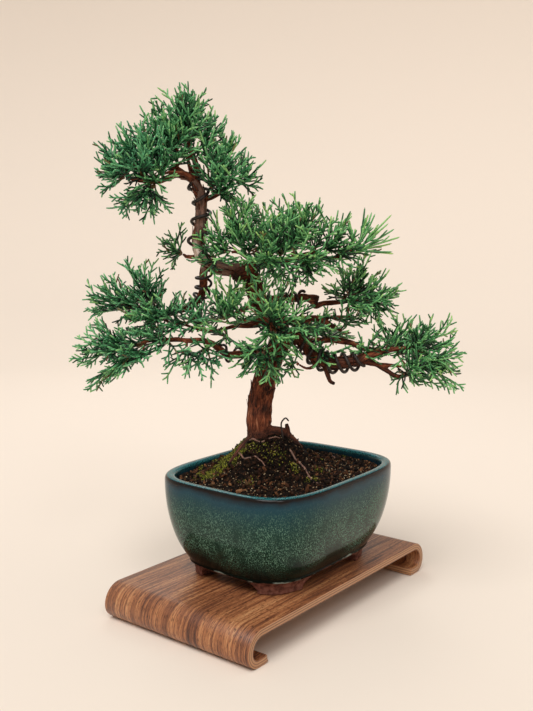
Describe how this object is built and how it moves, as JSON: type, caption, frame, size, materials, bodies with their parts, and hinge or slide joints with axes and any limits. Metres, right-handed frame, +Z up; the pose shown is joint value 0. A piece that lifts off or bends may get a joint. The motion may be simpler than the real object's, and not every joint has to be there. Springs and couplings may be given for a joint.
{
  "type": "bonsai tree in a pot",
  "caption": "Wired juniper bonsai with layered green foliage pads, planted on a mound of soil in a glazed rounded-rectangle pot that stands on a low bent-wood display stand.",
  "frame": {"origin": "centre of the whole object's outline seen from above, on the surface that the stand rests on", "axes": "+Z up along the trunk, +X along the stand's and the pot's long side"},
  "size_m": [0.296, 0.3336, 0.495],
  "materials": {
    "walnut": "satin",
    "glaze": "gloss",
    "black_plastic": "matte",
    "peat": "matte",
    "bark": "matte",
    "wire": "satin",
    "leaf": "satin"
  },
  "bodies": {
    "root": {"stand": "walnut", "pot": "glaze", "drain_mesh_left": "black_plastic", "drain_mesh_right": "black_plastic", "soil": "peat", "tree": "bark", "leader_wire": "wire", "left_wire": "wire", "left_low_wire": "wire", "right_wire_a": "wire", "right_wire_b": "wire", "upper_right_wire": "wire", "anchor_wire": "wire", "foliage_crown_left_tip": "leaf", "foliage_crown_left_top": "leaf", "foliage_crown_left_fan": "leaf", "foliage_crown_left_front": "leaf", "foliage_crown_left_back": "leaf", "foliage_peak": "leaf", "foliage_peak_left": "leaf", "foliage_peak_right": "leaf", "foliage_peak_back": "leaf", "foliage_crown_right_top": "leaf", "foliage_crown_right_tip": "leaf", "foliage_crown_right_low": "leaf", "foliage_crown_right_back": "leaf", "foliage_middle_left": "leaf", "foliage_middle_front_left": "leaf", "foliage_middle_top_left": "leaf", "foliage_middle_top": "leaf", "foliage_middle_top_right": "leaf", "foliage_middle_right": "leaf", "foliage_middle_front_mid": "leaf", "foliage_middle_front_right": "leaf", "foliage_middle_back_top": "leaf", "foliage_right_whips": "leaf", "foliage_left_upper_tip": "leaf", "foliage_left_upper_top": "leaf", "foliage_left_upper_inner": "leaf", "foliage_left_upper_back": "leaf", "foliage_left_low_tip": "leaf", "foliage_left_low_front": "leaf", "foliage_left_low_inner": "leaf", "foliage_left_low_back": "leaf", "foliage_left_centre": "leaf", "foliage_bright_shoots": "leaf", "foliage_centre_top": "leaf", "foliage_centre_front": "leaf", "foliage_centre_low": "leaf", "foliage_right_upper_top": "leaf", "foliage_right_upper_tip": "leaf", "foliage_right_upper_front": "leaf", "foliage_right_upper_back": "leaf", "foliage_end_left": "leaf", "foliage_end_top": "leaf", "foliage_end_tip": "leaf", "foliage_end_front": "leaf", "foliage_back_low": "leaf", "foliage_back_left_low": "leaf", "foliage_inner_sprig": "leaf"}
  },
  "joints": []
}
